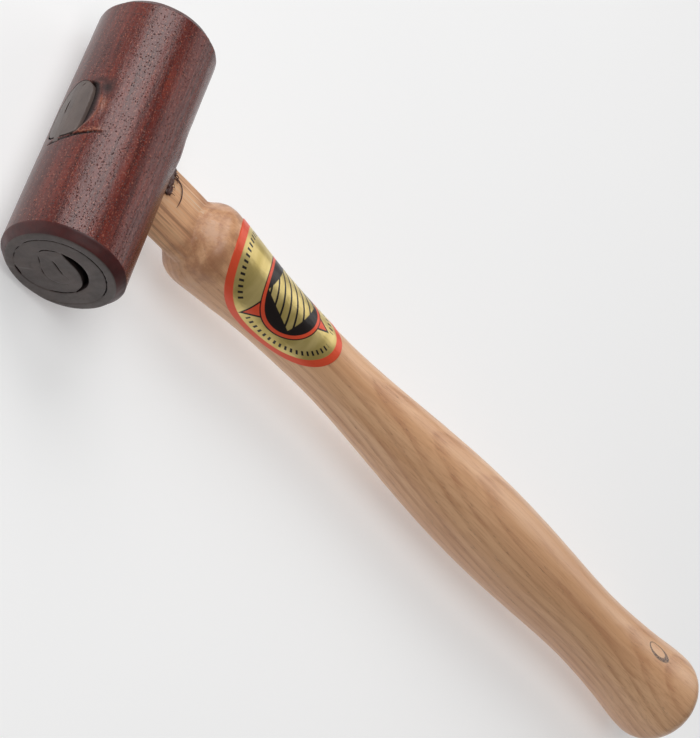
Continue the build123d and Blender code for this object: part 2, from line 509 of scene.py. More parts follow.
def eye_shade_light_crack(angle, y):
    """What the hide's material reads around the eye: painted shade over the sunk bevel and in the
    hollow beside the tenon, a painted highlight along the ridge and its outer face, and the crack.
    """
    arc, share, past_ridge, over = on_bevel(angle, y)
    inside = smooth((share + 0.8) / 0.3) * smooth((1.02 - share) / 0.5) * over
    # Painted shade over the sunk bevel, darkest next to the tenon's edge.
    deep = inside * (0.80 + 0.20 * smooth((0.75 - share) / 0.45))
    # Painted shade in the hollow beside the tenon's end, towards +Y.
    hollow = 1.2 * bell((arc - 8.1) / 2.3) * bell((y - 7.2) / 2.7)
    hollow += 0.7 * bell((arc - 5.6) / 2.8) * bell((y - 9.5) / 1.0)
    beside, fade = beside_crack(arc, y)
    ridge_fade = smooth((arc - 4.5) / 2) * smooth((13.0 - arc) / 4)
    speckle = smooth(0.5 + 1.3 * waves(arc / 0.45, y / 0.45, seed=97))
    # Painted highlight: light specks along the raised ridge beyond the crack, and along the crest of
    # the bevel's ridge.
    crest_light = bell((beside - 0.9) / 0.8) * ridge_fade * (np.abs(arc) < relief_reach) * speckle
    crest_light += 0.35 * bell(past_ridge / 0.35) * over * smooth((5.5 - y) / 2.5)
    # Painted highlight on the outer face of the ridge.
    orange = 0.5 * bell((past_ridge - 1.0) / 1.1) * bell((y - 1.8) / 2.4) * over
    crack = np.clip(1.3 * bell(beside / 0.38) * fade, 0, 1)
    return np.stack([np.clip(deep + 0.8 * hollow, 0, 1), np.clip(orange + crest_light, 0, 1), crack], 1)


def side_point(angle, y):
    """Points on the side of the roll, from angles and places along it."""
    radius = skin_radius(angle, y)
    turned = np.radians(angle)
    return np.stack([radius * np.cos(turned), y + 0 * radius, radius * np.sin(turned)], axis=-1)


def eye_loop(side, gap):
    """The eye's outline (y, z) at one side of the head: -1 for the end of the tenon."""
    turn = full_turn(loop_points)
    y = (eye_half_length + gap) * np.sin(turn)
    z = (eye_half_width + gap) * np.cos(turn)
    if side < 0:
        flat = tenon_top(y / (1 + gap / eye_half_length)) + gap
        z = np.where(z > 0, np.minimum(z, np.maximum(flat, 0.0)), z)
        squeezed = pared_half_length * np.tanh(1.35 * y / pared_half_length)
        y = np.where(y < 0, squeezed - gap, y)
    return y, z


def side_grid_rows():
    """How far along the head each row of the side lies, as a share from front to back."""
    share = np.linspace(0, 1, head_rows)
    edge = np.array([0.0, 0.0016, 0.004])
    return np.unique(np.concatenate([edge, share[1:-1], 1 - edge]))


def rolled_head(materials):
    shape = Shape()
    angles = skin_angles()
    shares = side_grid_rows()
    reach = half_length - rim_depth
    front = -reach + end_tilt(head_radius * np.cos(np.radians(angles)))
    y_grid = front + shares[:, None] * (reach - front)
    angle_grid = np.broadcast_to(angles[None, :], y_grid.shape)
    grid = side_point(angle_grid, y_grid)
    tenon_window = eye_window(angles, y_grid, 180.0, 50.0)
    neck_window = eye_window(angles, y_grid, 0.0, 30.0)
    add_side(shape, grid, (tenon_window, neck_window))
    tenon_rim = add_eye_patch(shape, angles, y_grid, tenon_window, -1)
    neck_rim = add_eye_patch(shape, angles, y_grid, neck_window, 1)
    add_tunnel(shape, tenon_rim, neck_rim)
    for end, row in ((-1, 0), (1, len(shares) - 1)):
        add_striking_face(shape, grid[row], end)
    piece = shape.finish("rolled_hide", materials, sharp_angle=48.0)
    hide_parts("hide_roll")
    points = local_points(piece)
    angle = np.degrees(np.arctan2(points[:, 2], points[:, 0]))
    angle = np.where(angle < strip_end, angle + 360, angle)
    radius = np.hypot(points[:, 0], points[:, 2])
    from_strip_end = np.radians(angle - strip_end) * head_radius
    store(piece, "roll", np.stack([from_strip_end, points[:, 1], radius], 1))
    store(piece, "shade_light_crack", eye_shade_light_crack(angle, points[:, 1]))
    return piece


def eye_window(angles, y_grid, centre, reach):
    """The block of grid cells around one mouth of the eye: (columns, rows), ends included."""
    columns = np.where(np.abs(angles - centre) < reach)[0]
    middle_column = y_grid[:, columns[len(columns) // 2]]
    return columns, np.where(np.abs(middle_column) < 13.0)[0]


def add_side(shape, grid, windows):
    """The side of the roll as a grid of quads, left open at the windows."""
    rows, columns = grid.shape[:2]
    first = shape.add_points(grid.reshape(-1, 3))
    open_cells = set()
    for window_columns, window_rows in windows:
        for j in window_rows[:-1]:
            for i in window_columns[:-1]:
                open_cells.add((int(j), int(i)))
    for j in range(rows - 1):
        for i in range(columns):
            if (j, i) in open_cells:
                continue
            a, b = first + j * columns + i, first + j * columns + (i + 1) % columns
            shape.add_face((a, b, b + columns, a + columns), 0)


def add_eye_patch(shape, angles, y_grid, window, side):
    """Fills the side around one mouth of the eye, and returns the mouth's rim."""
    columns, rows = window
    edge = [(rows[0], i) for i in columns[:-1]] + [(j, columns[-1]) for j in rows[:-1]]
    edge += [(rows[-1], i) for i in columns[:0:-1]] + [(j, columns[0]) for j in rows[:0:-1]]
    border = np.array([(math.radians(angles[i]) * head_radius, y_grid[j, i]) for j, i in edge])
    y, z = eye_loop(side, 0.10)
    if side < 0:
        # The tenon has shrunk away from the eye at its lower end, so a dark gap shows there.
        y = np.where(y < 0, y - 0.40 * smooth((-y - 5.0) / 3.0), y)
        angle = 180 - np.degrees(np.arcsin(z / head_radius))
    else:
        angle = np.degrees(np.arcsin(z / head_radius))
    loop = np.stack([np.radians(angle) * head_radius, y], axis=1)
    low, high = border.min(0), border.max(0)
    xs = np.arange(low[0] + 0.2, high[0] - 0.15, 0.21)
    ys = np.arange(low[1] + 0.2, high[1] - 0.15, 0.21)
    spare = clear_of(staggered(xs, ys, 0.1), [loop], 0.14)
    beside_rim = loop + outward(loop) * 0.07
    flat, kept, _ = fill_plane([border, loop], np.concatenate([spare, beside_rim]), [0], [1])
    first = shape.add_points(side_point(np.degrees(flat[:, 0] / head_radius), flat[:, 1]))
    for face in kept:
        shape.add_face([first + i for i in face], 0)
    return side_point(np.degrees(loop[:, 0] / head_radius), loop[:, 1])


def outward(loop):
    """Unit vectors that point out of a closed loop, at its points."""
    normal = left_of(np.roll(loop, -1, axis=0) - np.roll(loop, 1, axis=0))
    return normal * np.sign(np.sum((loop - loop.mean(0)) * normal))


def add_tunnel(shape, tenon_rim, neck_rim):
    """The wall of the eye, from its mouth at the tenon's end to its mouth at the neck."""
    shares = (0.0, 0.012, 0.04, 0.10, 0.5, 0.9, 0.97, 1.0)
    rows = [tenon_rim + share * (neck_rim - tenon_rim) for share in shares]
    shape.add_rows(rows, kind=1)


def lip_points(slots, gap, paths):
    """Points of a striking face in close rows, beside each opening and along both seams."""
    lips = []
    for outline, normal in [(slot, closed_normals(slot)) for slot in slots] + [(gap, outward(gap))]:
        for offset in (0.07, 0.17, 0.33):
            row = outline + normal * offset
            lips.append(row[distance_to_loop(row, outline) > offset * 0.93])
    for path in paths:
        normal = closed_normals(np.concatenate([path, path[::-1]]))[:len(path)]
        for offset in (-0.3, -0.13, 0.0, 0.13, 0.3):
            lips.append((path + normal * offset)[::2])
    lips = clear_of(np.concatenate(lips), slots + [gap], 0.06)
    return lips[np.linalg.norm(lips, axis=1) < lip_reach]


def field_points(openings):
    """Points of a striking face: rings over its bevel, and an even field inside them."""
    rings = []
    for radius in (15.6, 15.1, 14.75, 14.5, 14.32, 14.2, 14.1, 14.0, 13.88, 13.7):
        turn = full_turn(300) + math.radians(radius * 31)
        rings.append(np.stack([radius * np.cos(turn), radius * np.sin(turn)], axis=1))
    steps = np.arange(-head_radius, head_radius, 0.42)
    field = staggered(steps, steps, 0.21)
    field = field[np.linalg.norm(field, axis=1) < 13.4]
    return clear_of(np.concatenate(rings + [field]), openings, 0.42)


def add_striking_face(shape, ring, end):
    """One end of the roll, with its bevel, the open seam and the gap beside the core."""
    seed = 20.0 if end < 0 else 60.0
    border = ring[:, [0, 2]]
    paths = [curve_through(seam, seam_step) for seam in (outer_seam, inner_seam)]
    opened = stretches(paths[0], outer_open) + stretches(paths[1], inner_open)
    slots = [slot_outline(path, width, seed + k) for k, (path, width) in enumerate(opened)]
    gap = np.concatenate([curve_through(crescent_outer_edge, 0.3),
                          curve_through(crescent_inner_edge, 0.3)])
    openings = slots + [gap]
    spare = np.concatenate([lip_points(slots, gap, paths), field_points(openings)])
    flat, kept, holes = fill_plane([border] + openings, spare, [0], range(1, len(openings) + 1))
    # The hide is rounded down at every opening, and the closed seam is a fine groove.
    drop = face_drop(flat, seed) + turn_drop(flat)
    to_opening = np.min([distance_to_loop(flat, outline) for outline in openings], axis=0)
    drop += 0.12 * np.exp(-to_opening / 0.10)
    for path in paths:
        drop += 0.05 * np.exp(-(distance_to_path(flat, path) / 0.12) ** 2)
    if end < 0:
        drop += end_tilt(flat[:, 0])
    nearest = [int(np.argmin(np.hypot(*(border - point).T))) for point in flat]
    on_border = np.linalg.norm(border[nearest] - flat, axis=1) < 1e-4
    height = np.where(on_border, ring[nearest, 1], end * (half_length - drop))
    solid = np.stack([flat[:, 0], height, flat[:, 1]], axis=1)
    first = shape.add_points(solid)
    for face in kept:
        middle = np.linalg.norm(flat[list(face)].mean(0))
        kind = 2 if middle > head_radius - rim_width + 0.1 else 1
        shape.add_face([first + i for i in face], kind)
    in_gap = distance_to_loop(flat, gap) < 1e-4
    floor = {}
    for i in corners_of(holes):
        depth = crescent_depth if in_gap[i] or is_inside(flat[i], gap) else seam_depth
        floor[i] = solid[i] - np.array((0, end * depth, 0))
    shape.add_pockets(first, kept, holes, floor, 3)


def closed_normals(outline):
    """Unit vectors that point away from a thin slot, at the points of its outline."""
    half = len(outline) // 2
    left, right = outline[:half], outline[half:][::-1]
    normal = left_of(np.gradient((left + right) / 2, axis=0))
    return np.concatenate([normal, -normal[::-1]])


def is_inside(point, outline):
    """Whether a point lies inside a closed outline, by counting the edges that it passes."""
    x, y = point
    a, b = outline, np.roll(outline, -1, axis=0)
    crosses = (a[:, 1] > y) != (b[:, 1] > y)
    with np.errstate(divide="ignore", invalid="ignore"):
        at = a[:, 0] + (y - a[:, 1]) * (b[:, 0] - a[:, 0]) / (b[:, 1] - a[:, 1])
    return bool(np.sum(crosses & (x < at)) % 2)


# ==== the ash handle ====

station_x = np.array([s[0] for s in body_stations])
station_radius = np.array([s[1] for s in body_stations])
station_slopes = spline_slopes(station_x, station_radius, shoulder_slope, 0.0)


def body_radius(x):
    """The turned body's radius between its shoulder and the widest part of the butt."""
    x = np.asarray(x, float)
    curved = spline_values(station_x, station_radius, station_slopes, np.maximum(x, station_x[0]))
    run = (station_radius[0] - shoulder_foot[1]) / (station_x[0] - shoulder_foot[0])
    return np.where(x < station_x[0], station_radius[0] + run * (x - station_x[0]), curved)


def butt_profile():
    """(x, radius) from the butt's widest part over its rounded edge to the middle of its end."""
    flare_x, flare_radius = body_stations[-1]
    edge_height = flare_radius - butt_edge_radius
    reach = handle_reach - flare_x
    crown = (reach ** 2 + edge_height ** 2 - butt_edge_radius ** 2) / (2 * (reach - butt_edge_radius))
    crown_x = handle_reach - crown
    join = math.atan2(edge_height, flare_x - crown_x)
    edge_turns = np.linspace(math.pi / 2, join, 26)[1:]
    crown_turns = np.linspace(join, 0.012, 22)[1:]
    edge = [(flare_x + butt_edge_radius * math.cos(t), edge_height + butt_edge_radius * math.sin(t))
            for t in edge_turns]
    end = [(crown_x + crown * math.cos(t), crown * math.sin(t)) for t in crown_turns]
    return edge + end


def neck_ring(x, turn):
    """(y, z) of the oval neck and tenon, with the lengthwise marks of the rasp that fitted it."""
    y, z = eye_half_length * np.sin(turn), eye_half_width * np.cos(turn)
    pared_y, pared_z = eye_loop(-1, 0.0)
    share = smooth((-9.0 - x) / 4.0)
    y, z = y + share * (pared_y - y), z + share * (pared_z - z)
    outside = float(smooth((x - 11.0) / 3.0))
    if outside > 0:
        arc = turn * neck_mean_radius
        marks = waves(arc / 0.75, x / 26, seed=3) * 0.10
        marks += np.minimum(waves(arc / 1.9, x / 40, seed=9), 0) * 0.16
        marks += waves(arc / 4.5, x / 18, seed=15) * 0.08
        y = y + marks * outside * np.sin(turn)
        z = z + marks * outside * np.cos(turn)
    return y, z


def ring_at(x, y, z):
    return np.stack([x + 0 * y, y, z], axis=1)


def handle_rows():
    """Rings of points from the tenon's end to the middle of the butt."""
    turn = full_turn(loop_points)
    pared_y, pared_z = eye_loop(-1, 0.0)
    eased_y, eased_z = pared_y * 0.992, pared_z * 0.985
    flush = -np.sqrt(head_radius ** 2 - pared_z ** 2)
    rows = [ring_at(-np.sqrt(head_radius ** 2 - eased_z ** 2), eased_y, eased_z),
            ring_at(flush + 0.12, pared_y, pared_z),
            ring_at(flush + 0.5, pared_y, pared_z)]
    # The neck runs into the conical shoulder: each point takes whichever is further out.
    shoulder_x = station_x[0]
    for x in np.concatenate([np.arange(-13.5, 10, 1.5), np.arange(10, shoulder_x, 0.32)]):
        y, z = neck_ring(x, turn)
        cone = max(float(body_radius(x)), 0.0) + turned_unevenness(x, turn)
        beyond = np.abs(cone) > np.hypot(y, z)
        rows.append(ring_at(x, np.where(beyond, cone * np.sin(turn), y),
                            np.where(beyond, cone * np.cos(turn), z)))
    body = [(x, float(body_radius(x))) for x in np.concatenate([
        np.arange(shoulder_x, 46, 0.35), np.arange(46, 262, 1.1), np.arange(262, 274.2, 0.7),
        station_x[-1:]])]
    for x, radius in body + butt_profile():
        uneven = radius + turned_unevenness(x, turn)
        rows.append(ring_at(x, uneven * np.sin(turn), uneven * np.cos(turn)))
    return rows


def turned_unevenness(x, turn):
    """Facets left by sanding the turned wood, strongest at the collar."""
    y, z = np.sin(turn) * 3.0, np.cos(turn) * 3.0
    depth = 0.05 + 0.10 * float(smooth((44 - x) / 8))
    return -depth * np.abs(waves(y, z, x / 9, seed=31))


def kerf_outline():
    """The outline (y, z) of the saw kerf at the end of the tenon. It gapes on one side."""
    y = np.linspace(-7.8, 9.2, 54)
    top = np.full_like(y, kerf_height + kerf_half_mouth)
    bottom = kerf_height - kerf_half_mouth - 0.50 * smooth((y + 0.6) / 1.2) * smooth((4.4 - y) / 1.6)
    return np.concatenate([np.stack([y, top], 1), np.stack([y, bottom], 1)[::-1]])


tenon_crack = np.array(((8.0, 0.42), (8.3, 0.75), (8.6, 1.0), (9.05, 1.4)))   # (y, z)


def crack_outline(path, half_width):
    """The outline of a short crack that tapers to both ends of a path."""
    middle = curve_through(path, 0.25)
    normal = left_of(np.gradient(middle, axis=0))
    half = half_width * np.sin(np.linspace(0.12, math.pi - 0.12, len(middle)))[:, None]
    return np.concatenate([middle + normal * half, (middle - normal * half)[::-1]])


def ash_handle(materials):
    shape = Shape()
    rows = handle_rows()
    # The first rings take the dark end-grain finish; down the tenon's side inside the eye this dark is
    # painted shade.
    shape.add_rows(rows[:dark_end_rows], kind=1)
    shape.add_rows(rows[dark_end_rows - 1:], kind=0)
    shape.add_fan(rows[-1])
    add_tenon_end(shape, rows[0])
    piece = shape.finish("turned_ash_handle", materials, sharp_angle=40.0)
    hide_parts("ash_handle")
    points = local_points(piece)
    turn = np.arctan2(points[:, 1], points[:, 2])
    radius = np.hypot(points[:, 1], points[:, 2])
    store(piece, "turned", np.stack([points[:, 0], turn * radius, radius], 1))
    return piece


def add_tenon_end(shape, ring):
    """The tenon's end, sawn flush with the roll, with its open kerf."""
    border = ring[:, 1:]
    kerf = kerf_outline()
    crack = crack_outline(tenon_crack, 0.16)
    grid = staggered(np.arange(-9.6, 9.7, 0.4), np.arange(-6.2, 6.3, 0.4), 0.2)
    spare = clear_of(grid, (border, kerf, crack), 0.22)
    flat, kept, holes = fill_plane([border, kerf, crack], spare, [0], [1, 2])
    flush = -np.sqrt(head_radius ** 2 - flat[:, 1] ** 2)
    worn = 0.05 + 0.05 * waves(flat[:, 0] / 3.5, flat[:, 1] / 3.5, seed=40)
    worn = worn * smooth(distance_to_loop(flat, kerf) / 1.5)
    x = np.where(distance_to_loop(flat, border) < 1e-4, flush, flush + worn)
    solid = np.stack([x, flat[:, 0], flat[:, 1]], axis=1)
    first = shape.add_points(solid)
    for face in kept:
        shape.add_face([first + i for i in face], 1)
    in_crack = distance_to_path(flat, tenon_crack) < 0.24
    narrowing = kerf_half_root / kerf_half_mouth
    floor = {}
    for i in corners_of(holes):
        y, z = flat[i]
        if in_crack[i]:
            floor[i] = (x[i] + 0.8, y, z)
        else:
            floor[i] = (kerf_depth - head_radius, y, kerf_height + (z - kerf_height) * narrowing)
    shape.add_pockets(first, kept, holes, floor, 1)


# ==== the label ====

def label_place(along, across, lift):
    """A point over the wood, from a place on the flat label in millimetres."""
    x = label_centre + along * math.cos(label_turn) - across * math.sin(label_turn)
    around = along * math.sin(label_turn) + across * math.cos(label_turn)
    turn = around / label_wood_radius
    radius = body_radius(x) + lift
    return np.stack([x, radius * np.sin(turn), radius * np.cos(turn)], axis=-1)


def foil_label(materials):
    shape = Shape()
    turn = full_turn(220)
    rows = []
    for share in np.concatenate([[0.012], np.linspace(0.03, 0.985, 46), [0.996]]):
        along = label_half_length * share * np.cos(turn)
        across = label_half_height * share * np.sin(turn)
        creases = 0.022 * waves(along / 7, across / 2.4, seed=50)
        creases += 0.010 * waves(along / 2.2, across / 1.4, seed=55)
        rows.append(label_place(along, across, label_thickness + creases))
    along, across = label_half_length * np.cos(turn), label_half_height * np.sin(turn)
    underside = -0.12
    for lift in (label_thickness * 0.7, label_thickness * 0.2, underside):
        rows.append(label_place(along, across, lift))
    for share in (0.8, 0.6, 0.4, 0.2, 0.05):
        rows.append(label_place(along * share, across * share, underside))
    shape.add_rows(rows)
    shape.add_fan(rows[0])
    shape.add_fan(rows[-1])
    piece = shape.finish("foil_label", materials, sharp_angle=60.0)
    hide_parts("handle_label")
    points = local_points(piece)
    around = np.arctan2(points[:, 1], points[:, 2]) * label_wood_radius
    store(piece, "print", np.stack([points[:, 0] - label_centre, around, 0 * around], 1))
    return piece


# ==== loose hide at the neck ====

def tube(shape, path, radius, sides=7):
    """A tapering fibre along a path."""
    path = curve_through(path, 0.35)
    step = np.gradient(path, axis=0)
    step /= np.linalg.norm(step, axis=1)[:, None]
    side = np.cross(step, (0.31, 0.2, 0.93))
    side /= np.linalg.norm(side, axis=1)[:, None]
    other = np.cross(step, side)
    turn = full_turn(sides)
    rows = []
    for k in range(len(path)):
        taper = radius * min(1.0, 0.35 + k * 0.3, 0.2 + (len(path) - 1 - k) * 0.15)
        around = np.outer(np.cos(turn), side[k]) + np.outer(np.sin(turn), other[k])
        rows.append(path[k] + taper * around)
    first = shape.add_rows(rows)
    shape.add_face(range(first, first + sides))
    last = first + (len(rows) - 1) * sides
    shape.add_face(range(last + sides - 1, last - 1, -1))


def hide_burr(materials):
    """A torn lump of hide and short fibres, squeezed out beside the neck."""
    shape = Shape()
    add_lump(shape, (15.2, 1.2, 6.1), (1.3, 3.0, 0.9), 70.0)
    add_lump(shape, (15.9, -0.6, 6.2), (1.2, 1.7, 0.7), 76.0)
    add_lump(shape, (15.6, 4.6, 5.7), (1.0, 1.5, 0.8), 79.0)
    strand_starts = ((15.2, 5.2, 5.9), (15.6, 4.0, 6.3), (15.9, 2.4, 6.4), (16.2, 0.4, 6.5),
                     (15.4, 5.8, 5.4), (16.4, -1.6, 6.5), (15.4, 1.0, 6.8), (16.2, 3.4, 6.2))
    for k, start in enumerate(strand_starts):
        bend = waves(np.arange(3) * 1.7, k * 2.3, seed=81)
        sway = waves(np.arange(3) * 1.3, k * 3.1, seed=84)
        start = np.array(start)
        middle = start + (0.9 + 0.4 * bend[0], 0.9 * sway[0], 0.35 + 0.3 * bend[1])
        end = start + (1.9 + 0.5 * bend[2], 1.8 * sway[1], 0.1 + 0.4 * sway[2])
        tube(shape, [start, middle, end], 0.16)
    piece = shape.finish("hide_burr", materials, sharp_angle=70.0, weld=0.0005)
    return piece


def add_lump(shape, centre, size, seed):
    """A closed uneven lump, from rings of points."""
    rings, sides = 18, 28
    turn = full_turn(sides)
    rows = []
    for lift in np.linspace(-1, 1, rings + 2)[1:-1]:
        lift = math.sin(lift * math.pi / 2)
        across = math.sqrt(max(1 - lift * lift, 0.0004))
        unit = np.stack([across * np.cos(turn), across * np.sin(turn), np.full(sides, lift)], axis=1)
        rough = 1 + 0.30 * waves(*(unit.T * 1.7), seed=seed) + 0.16 * waves(*(unit.T * 5), seed=seed)
        rows.append(np.array(centre) + unit * rough[:, None] * np.array(size))
    first = shape.add_rows(rows)
    shape.add_face(range(first + sides - 1, first - 1, -1))
    last = first + (len(rows) - 1) * sides
    shape.add_face(range(last, last + sides))


def loose_fibre(materials):
    """One long fibre that has worked loose and lies over the neck."""
    shape = Shape()
    tube(shape, [(16.2, 4.3, 5.9), (17.8, 4.0, 6.0), (19.2, 3.1, 6.3), (20.1, 1.0, 6.7),
                 (20.5, -1.2, 6.6), (20.5, -3.1, 6.1)], 0.15, sides=9)
    piece = shape.finish("loose_fibre", materials, sharp_angle=70.0, weld=0.0005)
    return piece


# ==== materials ====

class Signal:
    """A value that varies over a surface. Sums, products and the like add math nodes."""

    def __init__(self, nodes, socket):
        self.nodes = nodes
        self.socket = socket

    def __add__(self, other):
        return self.nodes.math("ADD", self, other)

    def __sub__(self, other):
        return self.nodes.math("SUBTRACT", self, other)

    def __rsub__(self, other):
        return self.nodes.math("SUBTRACT", other, self)

    def __mul__(self, other):
        return self.nodes.math("MULTIPLY", self, other)

    def __truediv__(self, other):
        return self.nodes.math("DIVIDE", self, other)

    def __abs__(self):
        return self.nodes.math("ABSOLUTE", self)

    def fade(self, low, high, to_low=0.0, to_high=1.0):
        """Goes smoothly from to_low to to_high while the signal goes from low to high."""
        settings = {"interpolation_type": "SMOOTHSTEP"}
        inputs = {0: self, 1: low, 2: high, 3: to_low, 4: to_high}
        return self.nodes.signal("ShaderNodeMapRange", settings, inputs)


class Nodes:
    """Builds one material, one call per node."""

    def __init__(self, name):
        self.material = bpy.data.materials.new(name)
        self.material.use_nodes = True
        self.tree = self.material.node_tree
        self.tree.nodes.clear()

    def add(self, kind, settings, inputs):
        node = self.tree.nodes.new(kind)
        for name, value in settings.items():
            setattr(node, name, value)
        for key, value in inputs.items():
            if isinstance(value, Signal):
                self.tree.links.new(value.socket, node.inputs[key])
            else:
                node.inputs[key].default_value = value
        return node

    def signal(self, kind, settings, inputs, output=0):
        """Adds a node and returns one of its outputs."""
        return Signal(self, self.add(kind, settings, inputs).outputs[output])

    def stored(self, name):
        return self.signal("ShaderNodeAttribute", {"attribute_name": name}, {}, "Vector")

    def place(self):
        return self.signal("ShaderNodeTexCoord", {}, {}, "Object")

    def split(self, vector):
        outputs = self.add("ShaderNodeSeparateXYZ", {}, {0: vector}).outputs
        return [Signal(self, socket) for socket in outputs]

    def join(self, x, y, z=0.0):
        return self.signal("ShaderNodeCombineXYZ", {}, {0: x, 1: y, 2: z})

    def stretch(self, vector, scale, move=(0, 0, 0)):
        return self.signal("ShaderNodeMapping", {}, {0: vector, 1: move, 3: scale})

    def math(self, operation, a, b=0.0):
        return self.signal("ShaderNodeMath", {"operation": operation}, {0: a, 1: b})

    def length(self, a, b):
        """The distance of the place (a, b) from (0, 0)."""
        return self.math("SQRT", a * a + b * b)

    def noise(self, vector, scale, detail=3.0, rough=0.5):
        """Noise about 0.5, at one scale or at one for each direction."""
        if isinstance(scale, tuple):
            vector, scale = self.stretch(vector, scale), 1.0
        inputs = {"Vector": vector, "Scale": scale, "Detail": detail, "Roughness": rough}
        return self.signal("ShaderNodeTexNoise", {}, inputs, "Fac")

    def cells(self, vector, scale, random):
        """The distance to the nearest of many scattered points."""
        inputs = {"Vector": self.stretch(vector, scale), "Scale": 1.0, "Randomness": random}
        return self.signal("ShaderNodeTexVoronoi", {"feature": "F1"}, inputs, "Distance")

    def layers(self, colour, *coats):
        """Lays coats over a colour, one after another, each a (share, colour)."""
        for share, coat in coats:
            inputs = {0: share, 6: colour, 7: coat}
            colour = self.signal("ShaderNodeMix", {"data_type": "RGBA"}, inputs, 2)
        return colour

    def bump(self, height, distance, strength=1.0):
        inputs = {"Height": height, "Distance": distance, "Strength": strength}
        return self.signal("ShaderNodeBump", {}, inputs)

    def surface(self, **inputs):
        """Finishes the material, from the shader's inputs with _ for every space."""
        inputs = {name.replace("_", " "): value for name, value in inputs.items()}
        shader = self.signal("ShaderNodeBsdfPrincipled", {}, inputs)
        self.add("ShaderNodeOutputMaterial", {}, {0: shader})
        return self.material


def tone(red, green, blue):
    """A colour for a socket from its sRGB values, 0 to 255."""
    linear = []
    for value in (red, green, blue):
        value /= 255
        linear.append(value / 12.92 if value <= 0.04045 else ((value + 0.055) / 1.055) ** 2.4)
    return (*linear, 1.0)


def hide_skin():
    """The grain side of the rolled strip: deep red brown, glossy, with rows of open pores."""
    n = Nodes("hide_skin")
    around, along, _ = n.split(n.stored("roll"))
    # From around the eye: painted shade over the sunk bevel, a painted highlight on the ridge, and the
    # crack.
    sunk, ridge_highlight, crack = n.split(n.stored("shade_light_crack"))
    flat = n.join(around, along)
    # Each pore is a short dark slit. They stand in uneven rows along the head.
    bent = around + n.noise(flat, (0.5, 0.22, 1), 2).fade(0.0, 1.0, -0.5, 0.5)
    from_pore = n.cells(n.join(bent, along), (1 / pore_spacing[0], 1 / pore_spacing[1], 1), 0.62)
    pore_size = n.noise(flat, (0.7, 0.5, 1), 2).fade(0.3, 0.7, 0.19, 0.35)
    pits = (from_pore / pore_size).fade(0.45, 1.15, 1.0, 0.0)
    grain = n.noise(flat, (3.4, 2.2, 1), 3, 0.6).fade(0.28, 0.72)
    streaks = n.noise(flat, (0.9, 0.035, 1), 4, 0.6)
    flecks = n.noise(flat, (1.8, 0.5, 1), 5, 0.7)
    glints = n.noise(flat, (2.9, 1.3, 1), 2)
    blotch = n.noise(flat, (0.11, 0.05, 1))
    # Pores are open over the crown of the head and burnished shut low on its far side.
    wander = n.noise(flat, (0.35, 0.06, 1)).fade(0.3, 0.7, -2.4, 2.4)
    burnished = (around + wander).fade(burnished_start, burnished_start + 4.5)
    open_pores = pits * burnished.fade(0.0, 1.0, 1.0, 0.10)
    open_grain = grain * burnished.fade(0.0, 1.0, 1.0, 0.22)
    colour = n.layers(
        tone(98, 34, 27),
        (blotch.fade(0.3, 0.7), tone(116, 44, 32)),
        (streaks.fade(0.35, 0.7), tone(74, 25, 21)),
        (burnished * 0.5, tone(70, 42, 40)),
        (flecks.fade(0.56, 0.74, 0.0, 0.6), tone(158, 74, 48)),
        (glints.fade(0.58, 0.68, 0.0, 0.65), tone(172, 106, 84)),
        (grain.fade(0.0, 0.4, 0.6, 0.0), tone(44, 18, 16)),
        (open_pores * 0.78, tone(32, 17, 17)),
        # Painted shade over the sunk bevel and in the hollow beside the tenon.
        (sunk * 0.95, tone(30, 17, 17)),
        # Painted highlight along the ridge over the tenon.
        (ridge_highlight * flecks.fade(0.3, 0.7, 0.35, 0.95), tone(184, 118, 88)),
        (crack, tone(24, 14, 13)))
    dull = n.math("MAXIMUM", sunk, open_pores)
    return n.surface(Base_Color=colour, IOR=1.5,
                     Roughness=burnished.fade(0.0, 1.0, 0.24, 0.30) + dull * 0.45,
                     Normal=n.bump(open_grain * 0.18 - open_pores, 0.00012))


def hide_cut(name, light, dark, gloss):
    """Hide that was cut across and sanded smooth, as on the striking faces and the bevel."""
    n = Nodes(name)
    place = n.place()
    cloud = n.noise(place, 160.0, 5, 0.6)
    speck = n.noise(place, 1500.0, 3, 0.6)
    scuffs = n.noise(place, (900, 200, 300))
    colour = n.layers(dark, (cloud.fade(0.3, 0.7), light),
                      (speck.fade(0.58, 0.75, 0.0, 0.45), tone(42, 30, 28)))
    return n.surface(Base_Color=colour, Roughness=scuffs.fade(0.35, 0.7, gloss, gloss + 0.12),
                     Normal=n.bump(cloud * 0.7 + speck * 0.15, 0.00012, 0.6))


def dark_seam():
    """The raw edge of the hide inside a seam, stained by the glue."""
    n = Nodes("seam_wall")
    grain = n.noise(n.place(), 900.0, 4)
    colour = n.layers(tone(26, 16, 15), (grain.fade(0.3, 0.7), tone(48, 30, 27)))
    return n.surface(Base_Color=colour, Roughness=0.8, Normal=n.bump(grain, 0.0001))


def seam_glue():
    """Dark set glue, with a skin that sank unevenly as it dried."""
    n = Nodes("seam_glue")
    dimples = n.noise(n.place(), 700.0)
    colour = n.layers(tone(24, 15, 12), (dimples.fade(0.3, 0.7), tone(46, 28, 20)))
    return n.surface(Base_Color=colour, Roughness=0.45, Normal=n.bump(dimples, 0.0001))


